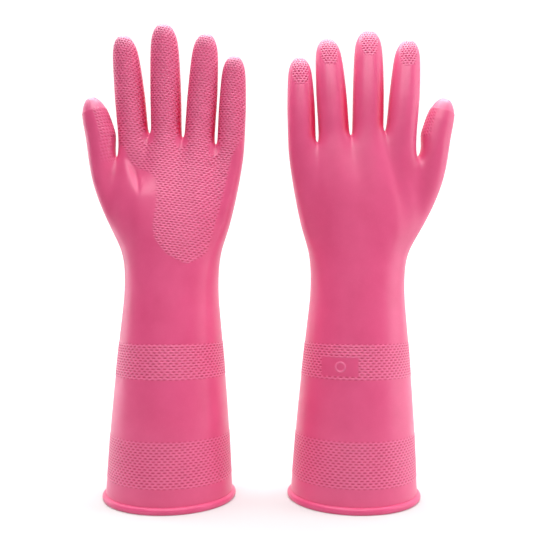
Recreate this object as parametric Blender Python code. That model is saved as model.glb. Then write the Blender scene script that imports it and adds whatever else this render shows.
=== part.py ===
"""A pair of long household rubber gloves, standing on their cuffs.

Each glove is one dip-moulded skin 0.5 mm thick and 375 mm tall, with a rolled bead at
the rim.  It is divided at its flex lines: the wrist, and the base and the middle of each
finger and of the thumb.  A flexible ring that bends lies between two stiff segments.

Frame: metres, +Z up, the floor at z = 0, the origin midway between the two gloves.
Glove A (at -X) turns its palm to -Y; glove B (at +X) is the same form turned half round.
"""
import math

import bmesh
import bpy
from mathutils import Matrix, Vector

# Driving dimensions, in millimetres.
SPACING = 148.5          # distance between the two gloves' wrist centres
WALL = 0.5               # rubber wall
GAP = 0.3                # clearance between neighbouring segments
CENTRE_SHIFT = -2.9      # both gloves are moved sideways by this, to centre the pair
# Sideways lean along +X per unit of height, below and above the wrist.
LEANS = {"glove_a": (0.0145, 0.0145), "glove_b": (0.0145, 0.007)}
WRIST_Z = 178.0          # height of the narrowest section
SIDE_POINTS = 12         # cage points on the palm side of a section, and as many on the back
BEAD_TUBE = 2.8          # radius of the rolled bead
BEAD_FLAT = 0.4          # depth of the flat that the bead rests on
BEAD_STEPS = (48, 12)    # facets of the bead round the cuff and round its own tube
SMOOTHING = 1            # subdivision levels of the solids
OVAL_GAIN = 1.0115       # a cage of 24 points shrinks by this much when it is smoothed
HEX_GAIN = 1.2           # a cage ring of 6 points shrinks by this much

# Sections: height, centre x, half width, half depth, angle of the first point off the side.
SLEEVE_SECTIONS = (
    (5.5, 1.0, 49.8, 50.0, 7.5),
    (60.0, 0.7, 46.5, 46.4, 7.5),
    (115.0, 0.4, 41.8, 40.0, 7.5),
    (163.0, 0.2, 36.9, 31.5, 7.5),
)
PALM_SECTIONS = (
    (193.0, 0.2, 37.8, 27.0, 10.0),
    (210.0, -4.0, 46.5, 25.0, 17.0),
    (240.0, -4.2, 50.8, 21.5, 22.0),
    (267.0, 2.7, 49.2, 16.8, 24.0),
)
PALM_ALIGN = (0.0, 0.25, 0.6, 0.9)   # how far each palm section's x follows the fingers
PALM_RIDGES = (0.0, 0.0, 0.1, 0.4)  # how far its depth follows the rounded finger bases

# Fingers: centre line from base to tip, radii, and the heights of the two flexible rings.
FINGERS = {
    "index": {"base": (-32.9, 285.0), "tip": (-40.2, 365.6), "radius": (12.2, 11.3),
              "start": 1.0, "end": 0.78, "knuckle": (296.0, 313.0), "middle": (322.0, 339.0)},
    "middle": {"base": (-6.6, 288.0), "tip": (-8.2, 374.0), "radius": (12.4, 11.8),
               "start": 1.0, "end": 0.86, "knuckle": (297.0, 314.0), "middle": (326.0, 343.0)},
    "ring": {"base": (20.0, 286.0), "tip": (25.2, 366.8), "radius": (12.2, 11.3),
             "start": 1.0, "end": 0.80, "knuckle": (293.5, 311.0), "middle": (322.0, 339.0)},
    "little": {"base": (45.4, 280.0), "tip": (47.6, 350.5), "radius": (11.1, 10.4),
               "start": 1.0, "end": 0.80, "knuckle": (287.5, 303.0), "middle": (311.5, 326.0)},
}
WEBS = (290.8, 287.2, 281.5)   # heights of the web floors between the fingers
FINGER_WIDEST = 0.35     # where a finger is widest, as a share of its length
ARCH_START = 193.0       # the hand arches backwards from this height
ARCH_TOP = (280.0, 4.5)  # height and depth of the arch at the knuckles
ARCH_CURL = (95.0, 12.5) # above that the fingers curl forwards: reach and depth
THUMB = {"base": (-57.0, 283.0), "tip": (-66.4, 317.6), "radius": (11.4, 11.0),
         "start": 1.08, "end": 0.70, "knuckle": (284.0, 294.0), "middle": (299.0, 307.0)}
THUMB_FORWARD = -4.0     # the thumb's axis lies this far towards the palm side
# Cage ring in the thumb's fleshy base: x, y, z and rise of the outer, middle and inner pairs.
THENAR_RING = ((-65.0, 9.0, 246.0, 0.0), (-57.0, 14.0, 263.5, 0.0), (-46.8, 9.0, 276.5, 3.0))
THENAR_FORWARD = -3.0
CROTCH_RISE = 3.0        # the thumb web is higher on the palm side than on the back
# The fleshy mound below the thumb, on the palm side: middle, reach and height.
MOUND = {"middle": (-32.0, 237.0), "reach": (20.0, 21.0), "height": 8.0}
THUMB_OUT = {"glove_a": 0.3, "glove_b": 3.4}   # how far the thumb's side is spread outwards
PALM_OUT = (0.0, 0.9, 1.0, 0.2)                # how far each palm section follows it
HEXAGON = ((-0.866, -0.5), (0.0, -1.0), (0.866, -0.5), (0.866, 0.5), (0.0, 1.0), (-0.866, 0.5))
DOME = ((1.5, 0.98), (0.72, 0.86), (0.05, 0.46))   # radii below the tip, share of the width

FLEX_AXIS_FORWARD = {"finger": -3.5, "thumb": -8.0}
PINK = (0.80, 0.118, 0.283, 1.0)
RUBBER_ROUGHNESS = 0.45

SLEEVE, WRIST, HAND = range(3)
DIGIT_PARTS = ("knuckle", "root", "joint", "tip")
DIGITS = ("index", "middle", "ring", "little", "thumb")


def interpolate(table, at, column=1):
    """One column of a table whose first column rises, read along straight stretches."""
    for low, high in zip(table, table[1:]):
        if at <= high[0]:
            share = (at - low[0]) / (high[0] - low[0])
            return low[column] + (high[column] - low[column]) * share
    return table[-1][column]


def digit_tag(digit, part):
    return 3 + DIGITS.index(digit) * len(DIGIT_PARTS) + DIGIT_PARTS.index(part)


def oval_section(section):
    """Cage points of one oval section: the palm side from -X to +X, then the back."""
    z, centre, half_width, half_depth, first = section
    step = (180.0 - 2.0 * first) / (SIDE_POINTS - 1)
    front = []
    for k in range(SIDE_POINTS):
        angle = math.radians(180.0 + first + step * k)
        front.append(Vector((centre + OVAL_GAIN * half_width * math.cos(angle),
                             OVAL_GAIN * half_depth * math.sin(angle), z)))
    back = [Vector((p.x, -p.y, p.z)) for p in reversed(front)]
    return front + back


def taper_at(digit, share):
    """A digit's width at a share of its length, as a share of its widest."""
    if share < FINGER_WIDEST:
        return digit["start"] + (1.0 - digit["start"]) * share / FINGER_WIDEST
    beyond = (share - FINGER_WIDEST) / (1.0 - FINGER_WIDEST)
    return 1.0 - (1.0 - digit["end"]) * beyond ** 1.5


def digit_ring(digit, z, width_share=1.0, out=0.0):
    """Six cage points round a digit, centred at height z; the thumb's lie square to its axis."""
    (x0, z0), (x1, z1) = digit["base"], digit["tip"]
    share = (z - z0) / (z1 - z0)
    if digit is THUMB:
        axis = Vector((x1 - x0, 0.0, z1 - z0)).normalized()
        across, forward = Vector((axis.z, 0.0, -axis.x)), THUMB_FORWARD
    else:
        across, forward = Vector((1.0, 0.0, 0.0)), 0.0
    centre = Vector((x0 + (x1 - x0) * share - out, forward, z))
    width = taper_at(digit, share) * width_share * HEX_GAIN
    radius_x, radius_y = digit["radius"]
    return [centre + across * (radius_x * width * u) + Vector((0.0, radius_y * width * v, 0.0))
            for u, v in HEXAGON]


def top_section():
    """The palm's top edge: the base rings of the four fingers, palm side then back."""
    rings = [digit_ring(FINGERS[name], FINGERS[name]["base"][1]) for name in DIGITS[:4]]
    front = [point for ring in rings for point in ring[:3]]
    back = [Vector((p.x, -p.y, p.z)) for p in reversed(front)]
    return front + back


def add_tube(bm, start, rings, tags):
    """Skin a tube of six-point rings on from a start loop; returns the last loop."""
    loop = start
    for ring, tag in zip(rings, tags):
        following = [bm.verts.new(point) for point in ring]
        for k in range(len(loop)):
            after = (k + 1) % len(loop)
            face = bm.faces.new((loop[k], loop[after], following[after], following[k]))
            face.material_index = tag
        loop = following
    return loop


def close_tip(bm, loop, tag):
    """Two quads close a six-point loop."""
    for corners in ((0, 1, 4, 5), (1, 2, 3, 4)):
        face = bm.faces.new([loop[k] for k in corners])
        face.material_index = tag


def add_digit(bm, name, start, digit, out=0.0):
    """A finger or thumb on a start loop: knuckle ring, root, joint ring and rounded tip."""
    heights = digit["knuckle"] + digit["middle"]
    rings = [digit_ring(digit, z, out=out) for z in heights]
    tags = [HAND] + [digit_tag(name, part) for part in DIGIT_PARTS[:3]]
    tip = digit_tag(name, "tip")
    radius = digit["radius"][0]
    for below, width_share in DOME:
        z = digit["tip"][1] - below * radius * digit["end"]
        rings.append(digit_ring(digit, z, width_share, out))
        tags.append(tip)
    close_tip(bm, add_tube(bm, start, rings, tags), tip)


def arch(z):
    """How far the hand's middle surface lies behind the wrist's at a height."""
    if z > ARCH_TOP[0]:
        return ARCH_TOP[1] - ARCH_CURL[1] * ((z - ARCH_TOP[0]) / ARCH_CURL[0]) ** 2
    share = max((z - ARCH_START) / (ARCH_TOP[0] - ARCH_START), 0.0)
    return ARCH_TOP[1] * share * share * (3.0 - 2.0 * share)


def lean_shift(lean, z):
    """Sideways shift of a leaning glove at a height, from its slopes below and above the wrist."""
    return lean[0 if z < WRIST_Z else 1] * (z - WRIST_Z)


def mound_at(x, z):
    """Height of the fleshy mound below the thumb over the palm."""
    (x0, z0), (reach_x, reach_z) = MOUND["middle"], MOUND["reach"]
    return MOUND["height"] * math.exp(-((x - x0) / reach_x) ** 2 - ((z - z0) / reach_z) ** 2)


def build_cage(lean, out):
    """The whole glove as a coarse quad cage, open at the cuff, tagged by segment."""
    bm = bmesh.new()
    sections = [oval_section(s) for s in SLEEVE_SECTIONS]
    top = top_section()
    for section, align, ridges, side in zip(PALM_SECTIONS, PALM_ALIGN, PALM_RIDGES, PALM_OUT):
        z, centre, half_width, half_depth, first = section
        spread = out * side / 2.0
        oval = oval_section((z, centre - spread, half_width + spread, half_depth, first))
        points = [Vector((o.x + (t.x - o.x) * align, o.y + (t.y - o.y) * ridges, z))
                  for o, t in zip(oval, top)]
        for point in points[:SIDE_POINTS]:
            point.y -= mound_at(point.x, z)
        sections.append(points)
    sections.append(top)
    rows = [[bm.verts.new(point) for point in section] for section in sections]

    count = 2 * SIDE_POINTS
    wrist_row = len(SLEEVE_SECTIONS) - 1
    thumb_rows = (wrist_row + 2, wrist_row + 3)
    for j in range(len(rows) - 1):
        tag = SLEEVE if j < wrist_row else (WRIST if j == wrist_row else HAND)
        for k in range(count):
            if k == count - 1 and j in thumb_rows:
                continue
            after = (k + 1) % count
            face = bm.faces.new((rows[j][k], rows[j][after], rows[j + 1][after], rows[j + 1][k]))
            face.material_index = tag

    edge = rows[-1]
    for index, name in enumerate(DIGITS[:4]):
        front = [edge[3 * index + k] for k in range(3)]
        back = [edge[count - 1 - 3 * index - k] for k in (2, 1, 0)]
        add_digit(bm, name, front + back, FINGERS[name])
    for gap in range(3):
        left, right = 3 * gap + 2, 3 * gap + 3
        face = bm.faces.new((edge[left], edge[right],
                             edge[count - 1 - right], edge[count - 1 - left]))
        face.material_index = HAND
        for k in (left, right, count - 1 - right, count - 1 - left):
            edge[k].co.z = WEBS[gap]

    low, mid, high = (rows[wrist_row + k] for k in (2, 3, 4))
    start = [low[0], mid[0], high[0], high[-1], mid[-1], low[-1]]
    thenar = [Vector((x - out, THENAR_FORWARD - y, z + rise)) for x, y, z, rise in THENAR_RING]
    thenar += [Vector((x - out, THENAR_FORWARD + y, z - rise))
               for x, y, z, rise in reversed(THENAR_RING)]
    high[0].co.z += CROTCH_RISE
    high[-1].co.z -= CROTCH_RISE
    base = add_tube(bm, start, [thenar], [HAND])
    add_digit(bm, "thumb", base, THUMB, out)

    bmesh.ops.recalc_face_normals(bm, faces=bm.faces)
    for vert in bm.verts:
        vert.co.x += lean_shift(lean, vert.co.z)
        vert.co.y += arch(vert.co.z)
    return bm


def smoothed(cage, name, levels):
    """The cage smoothed by a Subdivision Surface modifier, as a new bmesh."""
    mesh = bpy.data.meshes.new(name)
    cage.to_mesh(mesh)
    for index in range(3 + len(DIGITS) * len(DIGIT_PARTS)):
        mesh.materials.append(None)
    guide = bpy.data.objects.new(name, mesh)
    bpy.context.scene.collection.objects.link(guide)
    modifier = guide.modifiers.new("Smooth", "SUBSURF")
    modifier.levels = levels
    modifier.render_levels = levels
    bpy.context.view_layer.update()
    evaluated = guide.evaluated_get(bpy.context.evaluated_depsgraph_get())
    result = bmesh.new()
    result.from_mesh(evaluated.to_mesh())
    evaluated.to_mesh_clear()
    bpy.data.objects.remove(guide)
    bpy.data.meshes.remove(mesh)
    return result


def shell_of(skin, tag):
    """One segment of the skin as a closed shell with the wall's thickness.

    Its open edges stand back from the neighbouring segments by half the gap.
    """
    faces = [face for face in skin.faces if face.material_index == tag]
    verts = sorted({vert for face in faces for vert in face.verts}, key=lambda v: v.index)
    own = set(faces)
    border = {v for v in verts if any(f not in own for f in v.link_faces) or v.is_boundary}
    shell = bmesh.new()
    outer, inner = {}, {}
    for vert in verts:
        place = vert.co.copy()
        if vert in border:
            inward = [e.other_vert(vert) for e in vert.link_edges]
            inward = [v.co for v in inward if v in set(verts) and v not in border]
            if inward:
                middle = sum(inward, Vector()) / len(inward)
                place += (middle - place).normalized() * (GAP / 2.0)
        outer[vert] = shell.verts.new(place)
        inner[vert] = shell.verts.new(place - vert.normal * WALL)
    for face in faces:
        shell.faces.new([outer[v] for v in face.verts])
        shell.faces.new([inner[v] for v in reversed(face.verts)])
        for loop in face.loops:
            edge = loop.edge
            if any(other not in own for other in edge.link_faces) or edge.is_boundary:
                a, b = loop.vert, loop.link_loop_next.vert
                shell.faces.new((outer[b], outer[a], inner[a], inner[b]))
    bmesh.ops.recalc_face_normals(shell, faces=shell.faces)
    return shell


def bead_shell(lean):
    """The rolled bead: a ring of round section with a narrow flat underneath."""
    z, centre, half_width, half_depth, _ = SLEEVE_SECTIONS[0]
    around, section = BEAD_STEPS
    bm = bmesh.new()
    loops = []
    for i in range(around):
        turn = math.tau * i / around
        loop = []
        for k in range(section):
            angle = math.tau * (k + 0.5) / section
            out = BEAD_TUBE * math.cos(angle)
            up = BEAD_TUBE + max(BEAD_TUBE * math.sin(angle), BEAD_FLAT - BEAD_TUBE) - BEAD_FLAT
            loop.append(bm.verts.new(((half_width + out) * math.cos(turn),
                                      (half_depth + out) * math.sin(turn), up)))
        loops.append(loop)
    for i in range(around):
        for k in range(section):
            j, m = (i + 1) % around, (k + 1) % section
            bm.faces.new((loops[i][k], loops[j][k], loops[j][m], loops[i][m]))
    bmesh.ops.recalc_face_normals(bm, faces=bm.faces)
    shift = centre + lean_shift(lean, z)
    bmesh.ops.translate(bm, verts=bm.verts, vec=(shift, 0.0, 0.0))
    return bm


def rubber(name):
    """A satin rubber for one segment."""
    material = bpy.data.materials.new(name)
    material.use_nodes = True
    shader = material.node_tree.nodes["Principled BSDF"]
    shader.inputs["Base Color"].default_value = PINK
    shader.inputs["Roughness"].default_value = RUBBER_ROUGHNESS
    shader.inputs["Metallic"].default_value = 0.0
    return material


def pivot_of(digit, part, lean, out):
    """Point on the hinge axis in the middle of a digit's flexible ring."""
    table = THUMB if digit == "thumb" else FINGERS[digit]
    low, high = table["knuckle"] if part in ("knuckle", "root") else table["middle"]
    z = (low + high) / 2.0
    (x0, z0), (x1, z1) = table["base"], table["tip"]
    x = x0 + (x1 - x0) * (z - z0) / (z1 - z0) + lean_shift(lean, z)
    if digit == "thumb":
        x -= out
    forward = FLEX_AXIS_FORWARD["thumb" if digit == "thumb" else "finger"]
    return Vector((x, forward + arch(z), z))


def segment_pivots(lean, out):
    """Name, tag and origin of every skin segment; a segment's origin lies on its joint's axis."""
    wrist = Vector((0.0, 0.0, WRIST_Z))
    segments = [("sleeve", SLEEVE, Vector()), ("wrist", WRIST, wrist), ("hand", HAND, wrist)]
    for digit in DIGITS:
        for part in DIGIT_PARTS:
            pivot = pivot_of(digit, part, lean, out)
            segments.append((f"{digit}_{part}", digit_tag(digit, part), pivot))
    return segments


def place(shell, name, pivot, turn):
    """Make an object from a shell in millimetres, with its origin at the pivot."""
    bmesh.ops.translate(shell, verts=shell.verts, vec=-pivot)
    bmesh.ops.scale(shell, verts=shell.verts, vec=(0.001, 0.001, 0.001))
    mesh = bpy.data.meshes.new(name)
    shell.to_mesh(mesh)
    shell.free()
    mesh.shade_smooth()
    mesh.set_sharp_from_angle(angle=math.radians(50.0))
    mesh.materials.append(rubber(name))
    thing = bpy.data.objects.new(name, mesh)
    bpy.context.scene.collection.objects.link(thing)
    thing.matrix_world = turn @ Matrix.Translation(pivot * 0.001)


def build_glove(prefix, lean, turn):
    out = THUMB_OUT[prefix]
    skin = smoothed(build_cage(lean, out), f"{prefix}_form", SMOOTHING)
    place(bead_shell(lean), f"{prefix}_cuff_bead", Vector(), turn)
    for name, tag, pivot in segment_pivots(lean, out):
        place(shell_of(skin, tag), f"{prefix}_{name}", pivot, turn)
    skin.free()


def main():
    for old in list(bpy.data.objects):
        bpy.data.objects.remove(old)
    left = Matrix.Translation(((CENTRE_SHIFT - SPACING / 2.0) * 0.001, 0.0, 0.0))
    right = Matrix.Translation(((CENTRE_SHIFT + SPACING / 2.0) * 0.001, 0.0, 0.0))
    build_glove("glove_a", LEANS["glove_a"], left)
    turned_lean = [-slope for slope in LEANS["glove_b"]]
    build_glove("glove_b", turned_lean, right @ Matrix.Rotation(math.pi, 4, "Z"))


main()
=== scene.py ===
import math

import bmesh
import bpy
import numpy as np
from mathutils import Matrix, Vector


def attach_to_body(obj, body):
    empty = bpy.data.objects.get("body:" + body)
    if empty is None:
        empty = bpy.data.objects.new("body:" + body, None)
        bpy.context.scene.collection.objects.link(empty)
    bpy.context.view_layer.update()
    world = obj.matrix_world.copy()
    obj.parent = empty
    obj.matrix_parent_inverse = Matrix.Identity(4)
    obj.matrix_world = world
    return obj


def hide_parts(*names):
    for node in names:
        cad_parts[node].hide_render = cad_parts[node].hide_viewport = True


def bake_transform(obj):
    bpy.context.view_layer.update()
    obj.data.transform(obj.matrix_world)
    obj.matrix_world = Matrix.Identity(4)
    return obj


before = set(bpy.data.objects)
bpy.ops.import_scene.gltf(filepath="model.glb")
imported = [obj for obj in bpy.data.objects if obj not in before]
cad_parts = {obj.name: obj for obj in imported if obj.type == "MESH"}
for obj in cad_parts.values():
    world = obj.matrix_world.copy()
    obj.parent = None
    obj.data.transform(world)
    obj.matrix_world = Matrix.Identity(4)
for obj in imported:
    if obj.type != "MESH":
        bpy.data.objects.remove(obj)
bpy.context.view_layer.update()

# ---------------------------------------------------------------- sizes, in millimetres
WRIST_Z = 178.0          # height of the narrowest section
WALL = 0.5               # rubber wall
SPACING = 148.5          # distance between the two gloves' wrist centres
CENTRE_SHIFT = -2.9      # both gloves are moved sideways by this, to centre the pair
LEANS = {"glove_a": (0.0145, 0.0145), "glove_b": (0.0145, 0.007)}   # below, above the wrist
SIDE_POINTS = 12         # cage points on the palm side of a section, and as many on the back
OVAL_GAIN = 1.0115       # a cage of 24 points shrinks by this much when it is smoothed
HEX_GAIN = 1.2           # a cage ring of 6 points shrinks by this much

# Sections: height, centre x, half width, half depth, angle of the first point off the side.
SLEEVE_SECTIONS = (
    (5.5, 1.0, 49.8, 50.0, 7.5),
    (60.0, 0.7, 46.5, 46.4, 7.5),
    (115.0, 0.4, 41.8, 40.0, 7.5),
    (163.0, 0.2, 36.9, 31.5, 7.5),
)
SLEEVE_HEIGHTS = (3.6, 16.0, 35.0, 54.0, 75.0, 95.0, 110.0, 125.0, 145.0, 163.0)
SLEEVE_TAGS = ("hem", "band_low", "band_low", "midway", "midway", "band_high", "band_high",
               "shoulder", "shoulder")
PALM_SECTIONS = (
    (193.0, 0.2, 37.8, 27.0, 10.0),
    (210.0, -4.0, 46.5, 25.0, 17.0),
    (240.0, -4.2, 50.8, 21.5, 22.0),
    (267.0, 2.7, 49.2, 16.8, 24.0),
)
PALM_ALIGN = (0.0, 0.25, 0.6, 0.9)    # how far each palm section takes the fingers' x places
PALM_RIDGES = (0.0, 0.0, 0.1, 0.4)    # how far each takes their depths

FINGERS = {
    "index": {"base": (-32.9, 285.0), "tip": (-40.2, 365.6), "radius": (12.2, 11.3),
              "start": 1.0, "end": 0.78, "knuckle": (296.0, 313.0), "middle": (322.0, 339.0)},
    "middle": {"base": (-6.6, 288.0), "tip": (-8.2, 374.0), "radius": (12.4, 11.8),
               "start": 1.0, "end": 0.86, "knuckle": (297.0, 314.0), "middle": (326.0, 343.0)},
    "ring": {"base": (20.0, 286.0), "tip": (25.2, 366.8), "radius": (12.2, 11.3),
             "start": 1.0, "end": 0.80, "knuckle": (293.5, 311.0), "middle": (322.0, 339.0)},
    "little": {"base": (45.4, 280.0), "tip": (47.6, 350.5), "radius": (11.1, 10.4),
               "start": 1.0, "end": 0.80, "knuckle": (287.5, 303.0), "middle": (311.5, 326.0)},
}
WEBS = (290.8, 287.2, 281.5)   # heights of the web floors between the fingers
FINGER_WIDEST = 0.35     # where a finger is widest, as a share of its length
ARCH_START = 193.0       # the hand arches backwards from this height
ARCH_TOP = (280.0, 4.5)  # height and depth of the arch at the knuckles
ARCH_CURL = (95.0, 12.5) # above that the fingers curl forwards: reach and depth
THUMB = {"base": (-57.0, 283.0), "tip": (-66.4, 317.6), "radius": (11.4, 11.0),
         "start": 1.08, "end": 0.70, "knuckle": (284.0, 294.0), "middle": (299.0, 307.0)}
THUMB_FORWARD = -4.0     # the thumb's axis lies this far towards the palm side
# Cage ring in the thumb's fleshy base: x, y, z and rise of the outer, middle and inner pairs.
THENAR_RING = ((-65.0, 9.0, 246.0, 0.0), (-57.0, 14.0, 263.5, 0.0), (-46.8, 9.0, 276.5, 3.0))
THENAR_FORWARD = -3.0
CROTCH_RISE = 3.0        # the thumb web is higher on the palm side than on the back
# The fleshy mound below the thumb, on the palm side: middle, reach and height.
MOUND = {"middle": (-32.0, 237.0), "reach": (20.0, 21.0), "height": 8.0}
THUMB_OUT = {"glove_a": 0.3, "glove_b": 3.4}   # how far the thumb's side is spread outwards
PALM_OUT = (0.0, 0.9, 1.0, 0.2)                # how far each palm section follows it
HEXAGON = ((-0.866, -0.5), (0.0, -1.0), (0.866, -0.5), (0.866, 0.5), (0.0, 1.0), (-0.866, 0.5))
# Rings of a digit's domed end: depth under the tip in end radii, and share of the width.
DOME = ((1.5, 0.98), (0.72, 0.86), (0.05, 0.46))
DIGITS = ("index", "middle", "ring", "little", "thumb")
DIGIT_FORMS = {**FINGERS, "thumb": THUMB}
BEAD_TUBE = 2.8          # radius of the rolled bead
BEAD_FLAT = 0.4          # depth of the flat that the bead rests on
BEAD_STEPS = (192, 24)   # facets of the bead round the cuff and round its own tube
# Groove where the bead meets the sleeve: depth, then place and width as angles of the tube.
BEAD_GROOVE = (0.25, 0.62 * math.pi, 0.16)

# Colours of the rubber, linear.  The last four aren't pigment: painted shade in the grip's cells, a
# painted highlight on its ridges, a painted highlight on the ends of the digits, and painted shade,
# the deep red, between the fingers.  They stay on the rubber in any light or pose.
PINK_DEEP = (0.80, 0.088, 0.234)
PINK_LIGHT = (0.86, 0.108, 0.272)
PINK_SPECK = (0.90, 0.14, 0.32)
PINK_PAINTED_CELL_SHADE = (0.60, 0.025, 0.115)
PINK_PAINTED_CREST_HIGHLIGHT = (0.91, 0.20, 0.385)
PINK_PAINTED_TIP_HIGHLIGHT = (0.94, 0.46, 0.63)
PINK_PAINTED_FINGER_SHADE = (0.80, 0.002, 0.07)

# The studio, in metres: place, target, size and power of each softbox.
WORLD_LIGHT = 0.0        # all the light comes from the softboxes and the paper
PAPER_GREY = 0.60
BACKDROP_GLOW = 0.88
BACKDROP_REACH = (3.0, -2.5, 3.5)    # half width, front edge and top edge
BACKDROP_SWEEP = (1.4, 0.9, 12)      # where it starts to rise, its radius and its steps
GLOW_FROM, GLOW_TO = -0.5, 1.6       # the paper glows more and more over these depths
LIGHTS = (
    ("softbox_right", (1.00, -0.10, 0.35), (0.0, 0.0, 0.20), (0.6, 1.4), 5.9),
    ("softbox_left", (-0.85, 0.35, 0.35), (0.0, 0.0, 0.20), (0.4, 1.4), 3.9),
    ("softbox_behind", (0.85, 0.45, 0.35), (0.0, 0.0, 0.20), (0.4, 1.4), 1.5),
    ("softbox_front", (0.0, -0.75, 1.15), (0.0, 0.0, 0.25), (1.2, 0.5), 9.6),
    ("softbox_top", (0.0, 0.15, 1.30), (0.0, 0.0, 0.25), (1.6, 0.8), 23.0),
)
CAMERA_LENS = (47.3, 36.0, 0.044)          # lens and sensor width in mm, shift upwards
CAMERA_PLACE = (-0.0015, -0.560, 0.164)

# The crease between the thumb's mound and the palm: its line (z, x), then the groove on it and
# the hollow beside it.  Each has a depth, a width, and heights between which it comes and goes.
CREASE_LINE = ((236.0, -23.3), (241.0, -24.5), (248.5, -26.0), (257.0, -29.0), (268.0, -34.0))
CREASE_GROOVE = {"depth": 0.9, "width": 1.5, "comes": (236.0, 246.0), "goes": (262.0, 252.0)}
CREASE_HOLLOW = {"depth": 3.0, "width": 15.0, "comes": (236.0, 257.0), "goes": (276.0, 257.0)}
CREASE_STEEP = 3.0       # the hollow's width on the thumb's side of the line

# ---------------------------------------------------------------- the moulded grip
GRIP_HEIGHT = 0.55        # height of the raised net over its cells
GRIP_LEVEL = 0.55         # the smooth skin lies at this share of it
PALM_PITCH = (3.75, 1.9)  # width of a cell, and spacing of the rows of cells
CELL_SHARE = (0.34, 0.31) # half sizes of a sunk cell, as shares of its pitch
PALM_TILT = math.radians(-7.0)
THUMB_TILT = math.radians(-42.0)
BAND_PITCH = (4.25, 2.0)
TIP_PITCH = (3.5, 2.1)
BANDS = {"band_low": (18.0, 52.0), "band_high": (97.0, 123.0)}
# Edges of the palm's grip: height and local x.
GRIP_LEFT = ((184.0, 15.5), (189.4, 1.0), (201.8, -10.0), (214.0, -12.7), (225.0, -10.5),
             (245.0, -10.6), (254.0, -13.0), (258.5, -22.0), (261.0, -31.0), (277.0, -38.7),
             (292.0, -60.0))
GRIP_RIGHT = ((184.0, 15.5), (191.0, 29.0), (212.6, 34.6), (237.0, 40.5), (268.0, 46.5),
              (283.5, 54.0), (292.0, 62.0))
SMOOTH_PATCH = (5.0, 6.0)          # half sizes of the smooth ovals under the webs
TIP_PATCH = (6.4, 11.2, 13.8)      # half sizes of a fingertip's grip, and depth under the tip
THUMB_GRIP = (262.0, 311.0)        # heights of the grip on the thumb
THUMB_GRIP_FADE = 8.0              # it comes and goes over this height
THUMB_GRIP_SHARE = 0.6             # its height as a share of the net's elsewhere
THUMB_GRIP_EDGE = (-36.0, -42.0)   # x between which the palm's grip gives way to the thumb's
TIP_PAINTED_HIGHLIGHT = (15.0, 0.50)            # painted highlight on the end of each digit: its length, and its strength
PAINTED_SHADE_STRENGTH = 0.9                    # how deep the painted shade between the fingers goes
PAINTED_SHADE_FACING = {"glove_a": (0.50, 0.95), "glove_b": (0.25, 0.75)}   # X facing: starts, full
PAINTED_SHADE_COMES = (-5.0, 5.0)           # heights over the web where it comes, and where it goes
PAINTED_SHADE_GOES = (56.0, 20.0)
PAINTED_SHADE_MARGIN = 4.0                  # kept off the last finger's outer side
PANEL = (3.6, 30.0, 99.5, 113.5)   # smooth panel on the back, in the upper band: x and z ranges
PANEL_RING = (16.8, 106.5, 3.4, 0.8)   # x, z, radius and half width of the ring on it
PANEL_RING_HEIGHT = 1.3            # its height, as a share of the net's
EDGE_FADE = 0.5                    # a band's edges come and go over this height each way
PANEL_FADE = 0.4

# The regions that the skin is cut into, in the order of their tags.
REGIONS = ["hem", "band_low", "midway", "band_high", "shoulder", "wrist", "palm", "back"]
REGIONS += [f"{digit}_{half}" for digit in DIGITS for half in ("root", "tip")]
# How finely the quads under each region's grip are divided: level, then upright.
GRIPPED = {"band_low": (2, 3), "band_high": (2, 3), "wrist": (1, 4), "palm": (1, 4)}
GRIPPED.update({region: (2, 2) for region in REGIONS[8:]})
CAD_NODES = {"bead": "cuff_bead", "midway": "sleeve", "palm": "hand"}


# ---------------------------------------------------------------- the form
def interpolate(table, at, column=1):
    """One column of a table whose first column rises, read along straight stretches."""
    for low, high in zip(table, table[1:]):
        if at <= high[0]:
            share = (at - low[0]) / (high[0] - low[0])
            return low[column] + (high[column] - low[column]) * share
    return table[-1][column]


def oval_section(section):
    """Cage points of one oval section: the palm side from -X to +X, then the back."""
    z, centre, half_width, half_depth, first = section
    step = (180.0 - 2.0 * first) / (SIDE_POINTS - 1)
    front = []
    for k in range(SIDE_POINTS):
        angle = math.radians(180.0 + first + step * k)
        front.append(Vector((centre + OVAL_GAIN * half_width * math.cos(angle),
                             OVAL_GAIN * half_depth * math.sin(angle), z)))
    return front + [Vector((p.x, -p.y, p.z)) for p in reversed(front)]


def taper_at(digit, share):
    """A digit's width at a share of its length, as a share of its widest."""
    if share < FINGER_WIDEST:
        return digit["start"] + (1.0 - digit["start"]) * share / FINGER_WIDEST
    beyond = (share - FINGER_WIDEST) / (1.0 - FINGER_WIDEST)
    return 1.0 - (1.0 - digit["end"]) * beyond ** 1.5


def digit_ring(digit, z, width_share=1.0, out=0.0):
    """Six cage points round a digit, centred at height z; the thumb's lie square to its axis."""
    (x0, z0), (x1, z1) = digit["base"], digit["tip"]
    share = (z - z0) / (z1 - z0)
    if digit is THUMB:
        axis = Vector((x1 - x0, 0.0, z1 - z0)).normalized()
        across, forward = Vector((axis.z, 0.0, -axis.x)), THUMB_FORWARD
    else:
        across, forward = Vector((1.0, 0.0, 0.0)), 0.0
    centre = Vector((x0 + (x1 - x0) * share - out, forward, z))
    width = taper_at(digit, share) * width_share * HEX_GAIN
    radius_x, radius_y = digit["radius"]
    return [centre + across * (radius_x * width * u) + Vector((0.0, radius_y * width * v, 0.0))
            for u, v in HEXAGON]


def top_section():
    """The palm's top edge: the base rings of the four fingers, palm side then back."""
    rings = [digit_ring(FINGERS[name], FINGERS[name]["base"][1]) for name in DIGITS[:4]]
    front = [point for ring in rings for point in ring[:3]]
    return front + [Vector((p.x, -p.y, p.z)) for p in reversed(front)]


def tag(region):
    """A region's number on the cage."""
    return REGIONS.index(region)


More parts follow.
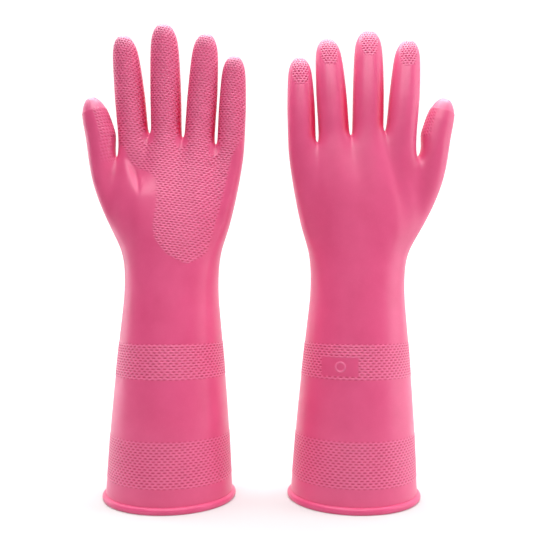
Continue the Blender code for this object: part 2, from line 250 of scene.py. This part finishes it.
def add_tube(bm, start, rings, regions):
    """Skin a tube of six-point rings on from a start loop; returns the last loop."""
    loop = start
    for ring, region in zip(rings, regions):
        following = [bm.verts.new(point) for point in ring]
        for k in range(len(loop)):
            after = (k + 1) % len(loop)
            face = bm.faces.new((loop[k], loop[after], following[after], following[k]))
            side = region if region != "hand" else ("palm" if k in (0, 1) else "back")
            face.material_index = tag(side)
        loop = following
    return loop


def add_digit(bm, name, start, digit, out=0.0):
    """A finger or thumb on a start loop, cut in the middle of its root segment."""
    low, high = digit["knuckle"][1], digit["middle"][0]
    heights = [digit["knuckle"][0], low, (low + high) / 2.0, high, digit["middle"][1]]
    rings = [digit_ring(digit, z, out=out) for z in heights]
    regions = ["hand", f"{name}_root", f"{name}_root", f"{name}_tip", f"{name}_tip"]
    radius = digit["radius"][0]
    for below, width_share in DOME:
        z = digit["tip"][1] - below * radius * digit["end"]
        rings.append(digit_ring(digit, z, width_share, out))
        regions.append(f"{name}_tip")
    loop = add_tube(bm, start, rings, regions)
    for corners in ((0, 1, 4, 5), (1, 2, 3, 4)):
        bm.faces.new([loop[k] for k in corners]).material_index = tag(f"{name}_tip")


def mound_at(x, z):
    """Height of the fleshy mound below the thumb over the palm."""
    (x0, z0), (reach_x, reach_z) = MOUND["middle"], MOUND["reach"]
    return MOUND["height"] * math.exp(-((x - x0) / reach_x) ** 2 - ((z - z0) / reach_z) ** 2)


def build_cage(out):
    """The whole glove as a coarse quad cage, open at the cuff, tagged by region."""
    bm = bmesh.new()
    sections = []
    for z in SLEEVE_HEIGHTS:
        columns = [interpolate(SLEEVE_SECTIONS, z, column) for column in (1, 2, 3, 4)]
        sections.append(oval_section((z, *columns)))
    top = top_section()
    for section, align, ridges, side in zip(PALM_SECTIONS, PALM_ALIGN, PALM_RIDGES, PALM_OUT):
        z, centre, half_width, half_depth, first = section
        spread = out * side / 2.0
        oval = oval_section((z, centre - spread, half_width + spread, half_depth, first))
        points = [Vector((o.x + (t.x - o.x) * align, o.y + (t.y - o.y) * ridges, z))
                  for o, t in zip(oval, top)]
        for point in points[:SIDE_POINTS]:
            point.y -= mound_at(point.x, z)
        sections.append(points)
    sections.append(top)
    rows = [[bm.verts.new(point) for point in section] for section in sections]

    count = 2 * SIDE_POINTS
    wrist_row = len(SLEEVE_HEIGHTS) - 1
    thumb_rows = (wrist_row + 2, wrist_row + 3)
    for j in range(len(rows) - 1):
        for k in range(count):
            if k == count - 1 and j in thumb_rows:
                continue
            after = (k + 1) % count
            face = bm.faces.new((rows[j][k], rows[j][after], rows[j + 1][after], rows[j + 1][k]))
            if j < wrist_row:
                region = SLEEVE_TAGS[j]
            elif j == wrist_row:
                region = "wrist"
            else:
                region = "palm" if k < SIDE_POINTS - 1 else "back"
            face.material_index = tag(region)

    edge = rows[-1]
    for index, name in enumerate(DIGITS[:4]):
        front = [edge[3 * index + k] for k in range(3)]
        back = [edge[count - 1 - 3 * index - k] for k in (2, 1, 0)]
        add_digit(bm, name, front + back, FINGERS[name])
    for gap in range(3):
        left, right = 3 * gap + 2, 3 * gap + 3
        web = (left, right, count - 1 - right, count - 1 - left)
        bm.faces.new([edge[k] for k in web]).material_index = tag("palm")
        for k in web:
            edge[k].co.z = WEBS[gap]

    low, mid, high = (rows[wrist_row + k] for k in (2, 3, 4))
    start = [low[0], mid[0], high[0], high[-1], mid[-1], low[-1]]
    thenar = [Vector((x - out, THENAR_FORWARD - y, z + rise)) for x, y, z, rise in THENAR_RING]
    thenar += [Vector((x - out, THENAR_FORWARD + y, z - rise))
               for x, y, z, rise in reversed(THENAR_RING)]
    high[0].co.z += CROTCH_RISE
    high[-1].co.z -= CROTCH_RISE
    base = add_tube(bm, start, [thenar], ["hand"])
    add_digit(bm, "thumb", base, THUMB, out)
    bmesh.ops.recalc_face_normals(bm, faces=bm.faces)
    return bm


def smoothed_form(cage, levels):
    """The smoothed cage: points, normals, quads and each quad's region tag, as arrays."""
    mesh = bpy.data.meshes.new("form")
    cage.to_mesh(mesh)
    for _ in REGIONS:
        mesh.materials.append(None)
    guide = bpy.data.objects.new("form", mesh)
    bpy.context.scene.collection.objects.link(guide)
    modifier = guide.modifiers.new("Smooth", "SUBSURF")
    modifier.levels = levels
    modifier.render_levels = levels
    bpy.context.view_layer.update()
    evaluated = guide.evaluated_get(bpy.context.evaluated_depsgraph_get())
    fine = evaluated.to_mesh()
    points = np.empty(len(fine.vertices) * 3)
    fine.vertices.foreach_get("co", points)
    quads = np.empty(len(fine.loops), dtype=np.int64)
    fine.loops.foreach_get("vertex_index", quads)
    tags = np.empty(len(fine.polygons), dtype=np.int64)
    fine.polygons.foreach_get("material_index", tags)
    evaluated.to_mesh_clear()
    bpy.data.objects.remove(guide)
    bpy.data.meshes.remove(mesh)
    points, quads = points.reshape(-1, 3), quads.reshape(-1, 4)
    return points, normals_of(points, quads), quads, tags


def unit(vectors):
    return vectors / np.linalg.norm(vectors, axis=-1, keepdims=True).clip(1e-12)


def normals_of(points, quads):
    """Smooth unit normals at the points of a quad mesh."""
    corner = points[quads]
    face = np.cross(corner[:, 2] - corner[:, 0], corner[:, 3] - corner[:, 1])
    total = np.zeros_like(points)
    for k in range(4):
        for axis in range(3):
            total[:, axis] += np.bincount(quads[:, k], face[:, axis], len(points))
    return unit(total)


def smoothstep(edge_low, edge_high, value):
    share = ((value - edge_low) / (edge_high - edge_low)).clip(0.0, 1.0)
    return share * share * (3.0 - 2.0 * share)


# ---------------------------------------------------------------- the grip's height
def net(across, along, pitch):
    """A net of raised ridges round rows of long sunk cells, between 0 and 1."""
    row = np.round(along / pitch[1])
    column = across / pitch[0] + 0.5 * (row % 2)
    side, off = column - np.round(column), along / pitch[1] - row
    return 1.0 - np.exp(-(np.abs(side) / CELL_SHARE[0]) ** 3 - (np.abs(off) / CELL_SHARE[1]) ** 3)


def turned(x, z, angle):
    """Coordinates in a frame turned by an angle."""
    return x * math.cos(angle) + z * math.sin(angle), z * math.cos(angle) - x * math.sin(angle)


def edge_at(table, z):
    """The x of a region's edge at each height, its corners rounded off."""
    heights, edge = zip(*table)
    return sum(np.interp(z + step, heights, edge) for step in (-3.0, -1.0, 1.0, 3.0)) / 4.0


def palm_grip(points, normals):
    """Grip on the palm between its two edges, but for a smooth oval under each web."""
    x, z = points[:, 0], points[:, 2]
    shown = smoothstep(0.2, 0.45, -normals[:, 1])
    shown *= smoothstep(-1.0, 1.5, x - edge_at(GRIP_LEFT, z))
    shown *= smoothstep(-1.0, 1.5, edge_at(GRIP_RIGHT, z) - x)
    shown *= smoothstep(183.5, 185.5, z)
    for gap, height in enumerate(WEBS):
        left, right = (FINGERS[name]["base"][0] for name in DIGITS[gap:gap + 2])
        away = np.hypot((x - (left + right) / 2.0) / SMOOTH_PATCH[0],
                        (z - height + 5.0) / SMOOTH_PATCH[1])
        shown *= smoothstep(0.85, 1.1, away)
    across, along = turned(x, z, PALM_TILT)
    return shown, net(across, along, PALM_PITCH)


def finger_grip(name, points, normals):
    """Grip over the whole front of a finger, and an oval of it on the back of the tip."""
    digit = FINGERS[name]
    (x0, z0), (x1, z1) = digit["base"], digit["tip"]
    x, y, z = points.T
    centre = x0 + (x1 - x0) * (z - z0) / (z1 - z0)
    turn = np.arctan2(x - centre, np.abs(y) + 1e-6)
    wrapped = centre + turn * digit["radius"][0]
    front = y < 0.0
    share = smoothstep(z0, z0 + 15.0, z)
    across, along = turned(wrapped * share + x * (1.0 - share), z, PALM_TILT)
    palm_side = smoothstep(0.15, 0.4, -normals[:, 1]) * smoothstep(2.0, 6.0, z1 - z)
    half_width, half_height, depth = TIP_PATCH
    oval = ((np.abs(x - centre) / half_width) ** 3 + (np.abs(z - z1 + depth) / half_height) ** 3)
    nail_side = smoothstep(1.15, 0.85, oval)
    shown = np.where(front, palm_side, nail_side)
    height = np.where(front, net(across, along, PALM_PITCH), net(wrapped, z, TIP_PITCH))
    return shown, height


def thumb_grip(points, normals):
    """Grip on the side of the thumb that faces the fingers."""
    (x0, z0), (x1, z1) = THUMB["base"], THUMB["tip"]
    axis = unit(np.array([x1 - x0, 0.0, z1 - z0]))
    across = np.array([axis[2], 0.0, -axis[0]])
    offset = points - np.array([x0, THUMB_FORWARD, z0])
    turn = np.arctan2(offset @ across, -offset[:, 1])
    shown = smoothstep(0.0, 0.2, normals @ across - 0.25 - 0.25 * normals[:, 1])
    shown *= smoothstep(THUMB_GRIP[0], THUMB_GRIP[0] + THUMB_GRIP_FADE, points[:, 2])
    shown *= THUMB_GRIP_SHARE * smoothstep(THUMB_GRIP[1], THUMB_GRIP[1] - THUMB_GRIP_FADE,
                                           points[:, 2])
    around, along = turned(turn * THUMB["radius"][0], offset @ axis, THUMB_TILT)
    return shown, net(around, along, PALM_PITCH)


def band_grip(region, points):
    """Grip round the sleeve in a band; the upper one has a smooth panel with a ring on it."""
    low, high = BANDS[region]
    middle = (low + high) / 2.0
    half_width = interpolate(SLEEVE_SECTIONS, middle, 2)
    half_depth = interpolate(SLEEVE_SECTIONS, middle, 3)
    girth = math.pi * (half_width + half_depth)
    cells = round(girth / BAND_PITCH[0])
    x, y, z = points.T
    turn = np.arctan2(y / half_depth, x / half_width)
    shown = smoothstep(low - EDGE_FADE, low + EDGE_FADE, z)
    shown = shown * smoothstep(high + EDGE_FADE, high - EDGE_FADE, z)
    height = net(turn / math.tau * cells, z - low, (1.0, BAND_PITCH[1]))
    if region == "band_high":
        level = np.minimum(x - PANEL[0], PANEL[1] - x)
        upright = np.minimum(z - PANEL[2], PANEL[3] - z)
        inside = (y > 0.0) * smoothstep(-PANEL_FADE, PANEL_FADE, level)
        inside *= smoothstep(-PANEL_FADE, PANEL_FADE, upright)
        ring_x, ring_z, radius, half = PANEL_RING
        away = np.abs(np.hypot(x - ring_x, z - ring_z) - radius)
        ring = (y > 0.0) * smoothstep(half, 0.25 * half, away)
        shown = np.maximum(shown * (1.0 - inside), ring)
        height = np.where(ring > 0.0, PANEL_RING_HEIGHT, height)
    return shown, height


def grip_on(region, points, normals):
    """How much of the grip shows at each point, and its height there, both from 0 to 1."""
    if region in BANDS:
        return band_grip(region, points)
    if region in ("palm", "wrist"):
        palm, height = palm_grip(points, normals)
        thumb, thumb_height = thumb_grip(points, normals)
        thumb *= smoothstep(*THUMB_GRIP_EDGE, points[:, 0])
        return np.maximum(palm, thumb), np.where(thumb > palm, thumb_height, height)
    if region.startswith("thumb"):
        return thumb_grip(points, normals)
    return finger_grip(region.split("_")[0], points, normals)


def divided(points, normals, quads, counts):
    """Quads divided into a grid: counts along their level edges, then up their upright ones."""
    rise = np.abs(np.roll(points[quads], -1, axis=1) - points[quads])[:, :, 2]
    upright = rise[:, 0] + rise[:, 2] > rise[:, 1] + rise[:, 3]
    quads = np.where(upright[:, None], np.roll(quads, -1, axis=1), quads)
    columns, rows = counts
    u, v = np.meshgrid(np.linspace(0.0, 1.0, columns + 1), np.linspace(0.0, 1.0, rows + 1))
    weights = np.stack([(1 - u) * (1 - v), u * (1 - v), u * v, (1 - u) * v]).reshape(4, -1)
    cells = np.arange((columns + 1) * (rows + 1)).reshape(rows + 1, columns + 1)
    grid = np.stack([cells[:-1, :-1], cells[:-1, 1:], cells[1:, 1:], cells[1:, :-1]], axis=-1)
    grid = grid.reshape(-1, 4)
    fine_points = np.einsum("qkc,kp->qpc", points[quads], weights)
    fine_normals = np.einsum("qkc,kp->qpc", normals[quads], weights)
    fine_quads = grid[None] + (np.arange(len(quads)) * weights.shape[1])[:, None, None]
    return fine_points.reshape(-1, 3), unit(fine_normals.reshape(-1, 3)), fine_quads.reshape(-1, 4)


def merged(points, normals, quads):
    """The same mesh with coincident points made one."""
    key = np.round(points * 500.0).astype(np.int64) + (1 << 19)
    key = (key[:, 0] << 40) | (key[:, 1] << 20) | key[:, 2]
    _, first, index = np.unique(key, return_index=True, return_inverse=True)
    return points[first], normals[first], index[quads]


def gripped(region, points, normals, quads, counts):
    """A region's skin with its grip raised: points, normals, quads and the grip's shading."""
    shown, _ = grip_on(region, points, normals)
    busy = (shown[quads] > 0.0).any(axis=1)
    plain_used, plain_index = np.unique(quads[~busy], return_inverse=True)
    fine = divided(points, normals, quads[busy], counts)
    joined = (np.concatenate([points[plain_used], fine[0]]),
              np.concatenate([normals[plain_used], fine[1]]),
              np.concatenate([plain_index.reshape(-1, 4), fine[2] + len(plain_used)]))
    points, normals, quads = merged(*joined)
    shown, height = grip_on(region, points, normals)
    raised = points + normals * (GRIP_HEIGHT * shown * (height - GRIP_LEVEL))[:, None]
    tilt = normals_of(raised, quads) - normals_of(points, quads)
    return raised, unit(normals + tilt), quads, shown * (height - GRIP_LEVEL)


def creased(points, normals, quads, tags):
    """The same form with a crease where the thumb's mound meets the palm."""
    x, y, z = points.T
    heights, line = zip(*CREASE_LINE)
    away = x - np.interp(z, heights, line)
    groove = CREASE_GROOVE["depth"] * np.exp(-(away / CREASE_GROOVE["width"]) ** 2)
    groove *= smoothstep(*CREASE_GROOVE["comes"], z) * smoothstep(*CREASE_GROOVE["goes"], z)
    width = np.where(away > 0.0, CREASE_HOLLOW["width"], CREASE_STEEP)
    hollow = CREASE_HOLLOW["depth"] * np.exp(-(away / width) ** 2)
    hollow *= smoothstep(*CREASE_HOLLOW["comes"], z) * smoothstep(*CREASE_HOLLOW["goes"], z)
    moved = points.copy()
    moved[:, 1] += (y < 0.0) * (groove + hollow)
    tilt = normals_of(moved, quads) - normals_of(points, quads)
    return moved, unit(normals + tilt), quads, tags


# ---------------------------------------------------------------- pieces
def lean_shift(prefix, z):
    """Sideways shift of a leaning glove at each height."""
    below, above = LEANS[prefix]
    return np.where(z < WRIST_Z, below, above) * (z - WRIST_Z)


def arch(z):
    """How far the hand's middle surface lies behind the wrist's at each height, and its slope."""
    share = ((z - ARCH_START) / (ARCH_TOP[0] - ARCH_START)).clip(0.0, 1.0)
    above = ((z - ARCH_TOP[0]) / ARCH_CURL[0]).clip(0.0, None)
    depth = ARCH_TOP[1] * share * share * (3.0 - 2.0 * share) - ARCH_CURL[1] * above ** 2
    rise = 6.0 * ARCH_TOP[1] * share * (1.0 - share) / (ARCH_TOP[0] - ARCH_START)
    return depth, rise - 2.0 * ARCH_CURL[1] * above / ARCH_CURL[0]


def to_row(prefix, points, normals):
    """Glove coordinates to row coordinates, in millimetres."""
    placed, facing = points.copy(), normals.copy()
    depth, slope = arch(points[:, 2])
    placed[:, 1] += depth
    facing[:, 2] -= slope * facing[:, 1]
    facing = unit(facing)
    middle = CENTRE_SHIFT + (SPACING if prefix == "glove_b" else -SPACING) / 2.0
    if prefix == "glove_b":
        placed[:, :2] *= -1.0
        facing[:, :2] *= -1.0
    placed[:, 0] += middle + lean_shift(prefix, points[:, 2])
    return placed, facing


def painted_tip_highlight(region, points):
    """How strong the painted highlight is, from 0 to 1: it lies over the end of each digit."""
    digit = DIGIT_FORMS.get(region.split("_")[0])
    if digit is None:
        return np.zeros(len(points))
    return TIP_PAINTED_HIGHLIGHT[1] * smoothstep(TIP_PAINTED_HIGHLIGHT[0], 0.0, digit["tip"][1] - points[:, 2])


def painted_finger_shade(prefix, region, points, facing):
    """How strong the painted shade is, from 0 to 1, on the +X side of a finger that has a next one.
    """
    if region not in ("palm", "back") and region.split("_")[0] not in FINGERS:
        return np.zeros(len(points))
    x, _, z = points.T
    bases = np.array([FINGERS[name]["base"][0] for name in DIGITS[:4]])
    web = np.interp(x, (bases[:-1] + bases[1:]) / 2.0, WEBS)
    share = smoothstep(web + PAINTED_SHADE_COMES[0], web + PAINTED_SHADE_COMES[1], z)
    share = share * smoothstep(web + PAINTED_SHADE_GOES[0], web + PAINTED_SHADE_GOES[1], z)
    if prefix == "glove_a":
        next_one = x < bases[3] - PAINTED_SHADE_MARGIN
    else:
        next_one = x > bases[0] + PAINTED_SHADE_MARGIN
    start, full = PAINTED_SHADE_FACING[prefix]
    return PAINTED_SHADE_STRENGTH * next_one * share * smoothstep(start, full, facing[:, 0])


def build_piece(name, points, normals, quads, shades, material):
    """A mesh object in metres from quads in millimetres, with its own shading normals."""
    mesh = bpy.data.meshes.new(name)
    mesh.vertices.add(len(points))
    mesh.vertices.foreach_set("co", points.ravel() * 0.001)
    mesh.loops.add(quads.size)
    mesh.loops.foreach_set("vertex_index", quads.ravel())
    mesh.polygons.add(len(quads))
    mesh.polygons.foreach_set("loop_start", np.arange(len(quads)) * 4)
    mesh.update(calc_edges=True)
    mesh.shade_smooth()
    mesh.normals_split_custom_set_from_vertices(normals)
    for shade, values in shades.items():
        mesh.attributes.new(shade, "FLOAT", "POINT").data.foreach_set("value", values)
    mesh.materials.append(material)
    piece = bpy.data.objects.new(name, mesh)
    bpy.context.scene.collection.objects.link(piece)
    return piece


def skin_of(region, forms):
    """Outer skin of a region with its grip, and the inner skin behind it."""
    level = 4 if region in GRIPPED else 3
    points, normals, quads, tags = forms[level]
    used, index = np.unique(quads[tags == tag(region)], return_inverse=True)
    outer = [points[used], normals[used], index.reshape(-1, 4), np.zeros(len(used))]
    if region in GRIPPED:
        outer = gripped(region, *outer[:3], GRIPPED[region])
    points, normals, quads, tags = forms[3]
    used, index = np.unique(quads[tags == tag(region)], return_inverse=True)
    inner_points = points[used] - normals[used] * WALL
    inner_quads = index.reshape(-1, 4)[:, ::-1] + len(outer[0])
    return (np.concatenate([outer[0], inner_points]), np.concatenate([outer[1], -normals[used]]),
            np.concatenate([outer[2], inner_quads]), np.concatenate([outer[3], np.zeros(len(used))]))


def bead_skin():
    """The rolled rim: a tube with a flat underneath, and a groove where it meets the sleeve."""
    _, centre, half_width, half_depth, _ = SLEEVE_SECTIONS[0]
    around, section = BEAD_STEPS
    turn = np.arange(around) * math.tau / around
    angle = np.arange(section) * math.tau / section
    depth, place, width = BEAD_GROOVE
    radius = BEAD_TUBE - depth * np.exp(-((angle - place) / width) ** 2)
    out = radius * np.cos(angle)
    up = np.maximum(BEAD_TUBE + radius * np.sin(angle), BEAD_FLAT) - BEAD_FLAT
    points = np.stack([centre + (half_width + out[None]) * np.cos(turn)[:, None],
                       (half_depth + out[None]) * np.sin(turn)[:, None],
                       np.broadcast_to(up, (around, section))], axis=-1).reshape(-1, 3)
    i, k = np.meshgrid(np.arange(around), np.arange(section), indexing="ij")
    after, above = (i + 1) % around, (k + 1) % section
    quads = np.stack([i * section + k, after * section + k, after * section + above,
                      i * section + above], axis=-1).reshape(-1, 4)
    return points, normals_of(points, quads), quads, np.zeros(len(points))


def row_point(prefix, x, y, z):
    """One point in glove coordinates, as a row point in metres."""
    placed, _ = to_row(prefix, np.array([[x, y, z]]), np.zeros((1, 3)))
    return tuple(placed[0] * 0.001)


def digit_point(prefix, digit, z):
    """The point on a digit's axis at a height, in the row."""
    (x0, z0), (x1, z1) = digit["base"], digit["tip"]
    out = THUMB_OUT[prefix] if digit is THUMB else 0.0
    return row_point(prefix, x0 + (x1 - x0) * (z - z0) / (z1 - z0) - out, 0.0, z)


def attach(piece, prefix, region):
    """Tie a piece to the body that it rides on; a digit's or the wrist's piece stays in place, its
    CAD parts hidden.
    """
    cuff, palm = f"{prefix}_cuff", f"{prefix}_palm"
    digit, _, half = region.partition("_")
    if digit in DIGITS:
        form = DIGIT_FORMS[digit]
        ring = form["knuckle"] if half == "root" else form["middle"]
        nodes = ("knuckle", "root") if half == "root" else ("joint", "tip")
        low, high = (digit_point(prefix, form, z) for z in ring)
        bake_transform(piece)
        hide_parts(*(f"{prefix}_{digit}_{node}" for node in nodes))
    elif region == "wrist":
        ends = SLEEVE_SECTIONS[-1][0], PALM_SECTIONS[0][0]
        low, high = (row_point(prefix, 0.0, 0.0, z) for z in ends)
        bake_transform(piece)
        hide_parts(f"{prefix}_wrist")
    elif region in ("palm", "back"):
        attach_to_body(piece, palm)
    else:
        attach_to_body(piece, cuff)
    if region in CAD_NODES:
        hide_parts(f"{prefix}_{CAD_NODES[region]}")


# ---------------------------------------------------------------- materials
class Nodes:
    """Short calls for building a material's node tree."""

    def __init__(self, name):
        self.material = bpy.data.materials.new(name)
        self.material.use_nodes = True
        self.tree = self.material.node_tree
        self.shader = self.tree.nodes["Principled BSDF"]
        self.place = self.add("ShaderNodeTexCoord").outputs["Object"]

    def add(self, kind, **values):
        node = self.tree.nodes.new(kind)
        for key, value in values.items():
            setattr(node, key, value)
        return node

    def link(self, output, target):
        self.tree.links.new(output, target)

    def noise(self, scale, detail=3.0, roughness=0.5):
        node = self.add("ShaderNodeTexNoise")
        self.link(self.place, node.inputs["Vector"])
        node.inputs["Scale"].default_value = scale
        node.inputs["Detail"].default_value = detail
        node.inputs["Roughness"].default_value = roughness
        return node.outputs["Fac"]

    def ranged(self, value, low, high, to_low, to_high):
        node = self.add("ShaderNodeMapRange")
        self.link(value, node.inputs["Value"])
        for key, number in zip(("From Min", "From Max", "To Min", "To Max"),
                               (low, high, to_low, to_high)):
            node.inputs[key].default_value = number
        return node.outputs["Result"]

    def mixed(self, factor, first, second):
        node = self.add("ShaderNodeMix", data_type="RGBA")
        self.link(factor, node.inputs["Factor"])
        for colour, target in ((first, node.inputs[6]), (second, node.inputs[7])):
            if isinstance(colour, tuple):
                target.default_value = (*colour, 1.0)
            else:
                self.link(colour, target)
        return node.outputs[2]

    def bump(self, height, distance, strength, under=None):
        node = self.add("ShaderNodeBump")
        node.inputs["Distance"].default_value = distance
        node.inputs["Strength"].default_value = strength
        self.link(height, node.inputs["Height"])
        if under is not None:
            self.link(under, node.inputs["Normal"])
        return node.outputs["Normal"]


def rubber_material():
    """Satin dipped rubber: cloudy pink with painted shade and highlight on its grip, and a fine
    skin.
    """
    mat = Nodes("pink_rubber")
    grip = mat.add("ShaderNodeAttribute", attribute_name="grip").outputs["Fac"]
    cloud = mat.ranged(mat.noise(38.0, 4.0, 0.55), 0.3, 0.7, 0.0, 1.0)
    colour = mat.mixed(cloud, PINK_DEEP, PINK_LIGHT)
    speck = mat.ranged(mat.noise(900.0, 2.0), 0.55, 0.8, 0.0, 0.25)
    colour = mat.mixed(speck, colour, PINK_SPECK)
    # Painted shade in the grip's sunk cells, and a painted highlight on its ridges.
    colour = mat.mixed(mat.ranged(grip, 0.0, -0.45, 0.0, 0.85), colour, PINK_PAINTED_CELL_SHADE)
    colour = mat.mixed(mat.ranged(grip, 0.0, 0.40, 0.0, 0.60), colour, PINK_PAINTED_CREST_HIGHLIGHT)
    # Painted highlight over the ends of the digits.
    painted_highlight = mat.add("ShaderNodeAttribute", attribute_name="painted_highlight").outputs["Fac"]
    colour = mat.mixed(painted_highlight, colour, PINK_PAINTED_TIP_HIGHLIGHT)
    # Painted shade: the deep red on the +X side of each finger that has a next one.
    painted_shade = mat.add("ShaderNodeAttribute", attribute_name="painted_shade").outputs["Fac"]
    colour = mat.mixed(painted_shade, colour, PINK_PAINTED_FINGER_SHADE)
    mat.link(colour, mat.shader.inputs["Base Color"])
    satin = mat.ranged(mat.noise(140.0, 3.0), 0.3, 0.7, 0.34, 0.43)
    mat.link(satin, mat.shader.inputs["Roughness"])
    broad = mat.bump(mat.noise(55.0, 2.0), 0.0012, 0.10)
    skin = mat.bump(mat.noise(1500.0, 3.0, 0.6), 0.0001, 0.25, broad)
    mat.link(skin, mat.shader.inputs["Normal"])
    mat.shader.inputs["Specular IOR Level"].default_value = 0.6
    mat.shader.inputs["Sheen Weight"].default_value = 0.22
    mat.shader.inputs["Sheen Roughness"].default_value = 0.35
    mat.shader.inputs["Sheen Tint"].default_value = (1.0, 0.75, 0.86, 1.0)
    return mat.material


def bead_material():
    """The rolled rim: the same rubber, a little glossier where it was rolled wet."""
    mat = Nodes("rolled_rubber")
    cloud = mat.ranged(mat.noise(60.0, 3.0), 0.3, 0.7, 0.0, 1.0)
    mat.link(mat.mixed(cloud, PINK_DEEP, PINK_LIGHT), mat.shader.inputs["Base Color"])
    satin = mat.ranged(mat.noise(220.0, 3.0), 0.3, 0.7, 0.30, 0.40)
    mat.link(satin, mat.shader.inputs["Roughness"])
    mat.link(mat.bump(mat.noise(700.0, 2.0), 0.0001, 0.2), mat.shader.inputs["Normal"])
    mat.shader.inputs["Specular IOR Level"].default_value = 0.5
    return mat.material


# ---------------------------------------------------------------- the gloves
RUBBER, BEAD_RUBBER = rubber_material(), bead_material()


def build_gloves():
    for prefix, out in THUMB_OUT.items():
        forms = {level: creased(*smoothed_form(build_cage(out), level)) for level in (3, 4)}
        skins = {region: skin_of(region, forms) for region in REGIONS}
        skins["bead"] = bead_skin()
        for region, (points, normals, quads, grip) in skins.items():
            placed, facing = to_row(prefix, points, normals)
            material = BEAD_RUBBER if region == "bead" else RUBBER
            name = f"{prefix}_{region}_skin"
            # The grip's height turns into painted shade and highlight; the second shade is a painted
            # highlight on the digits' ends, the third painted shade between the fingers.
            shades = {"grip": grip, "painted_highlight": painted_tip_highlight(region, points),
                      "painted_shade": painted_finger_shade(prefix, region, points, facing)}
            piece = build_piece(name, placed, facing, quads, shades, material)
            attach(piece, prefix, region)


build_gloves()


# ---------------------------------------------------------------- studio
def area_light(name, place, target, size, power):
    light = bpy.data.lights.new(name, "AREA")
    light.shape = "RECTANGLE"
    light.size, light.size_y = size
    light.energy = power
    lamp = bpy.data.objects.new(name, light)
    bpy.context.scene.collection.objects.link(lamp)
    lamp.location = place
    direction = Vector(target) - Vector(place)
    lamp.rotation_euler = direction.to_track_quat("-Z", "Y").to_euler()


def backdrop():
    """A pale floor that sweeps up behind the gloves in one piece."""
    reach, front, top = BACKDROP_REACH
    start, sweep, steps = BACKDROP_SWEEP
    profile = [(front, 0.0), (start, 0.0)]
    for k in range(1, steps + 1):
        angle = math.radians(90.0 / steps * k)
        profile.append((start + sweep * math.sin(angle), sweep * (1.0 - math.cos(angle))))
    profile.append((start + sweep, top))
    points = [(x, y, z) for y, z in profile for x in (-reach, reach)]
    faces = [(2 * k, 2 * k + 1, 2 * k + 3, 2 * k + 2) for k in range(len(profile) - 1)]
    mesh = bpy.data.meshes.new("backdrop")
    mesh.from_pydata(points, [], faces)
    mesh.shade_smooth()
    sheet = bpy.data.objects.new("backdrop", mesh)
    bpy.context.scene.collection.objects.link(sheet)
    paper = Nodes("pale_paper")
    paper.shader.inputs["Base Color"].default_value = (PAPER_GREY, PAPER_GREY, PAPER_GREY, 1.0)
    paper.shader.inputs["Roughness"].default_value = 0.9
    paper.shader.inputs["Specular IOR Level"].default_value = 0.0
    paper.shader.inputs["Emission Color"].default_value = (1.0, 1.0, 1.0, 1.0)
    axes = paper.add("ShaderNodeSeparateXYZ")
    paper.link(paper.place, axes.inputs["Vector"])
    glow = paper.ranged(axes.outputs["Y"], GLOW_FROM, GLOW_TO, 0.0, BACKDROP_GLOW)
    paper.link(glow, paper.shader.inputs["Emission Strength"])
    mesh.materials.append(paper.material)


def studio():
    backdrop()
    world = bpy.data.worlds.new("studio")
    bpy.context.scene.world = world
    world.use_nodes = True
    world.node_tree.nodes["Background"].inputs["Color"].default_value = (1.0, 1.0, 1.0, 1.0)
    world.node_tree.nodes["Background"].inputs["Strength"].default_value = WORLD_LIGHT
    for name, place, target, size, power in LIGHTS:
        area_light(name, place, target, size, power)
    bpy.context.scene.view_settings.view_transform = "Standard"


def camera():
    """A level camera in front of the gloves, at a little under half their height."""
    data = bpy.data.cameras.new("camera")
    data.lens, data.sensor_width, data.shift_y = CAMERA_LENS
    view = bpy.data.objects.new("camera", data)
    bpy.context.scene.collection.objects.link(view)
    view.location = CAMERA_PLACE
    view.rotation_euler = (math.radians(90.0), 0.0, 0.0)
    bpy.context.scene.camera = view


studio()
camera()
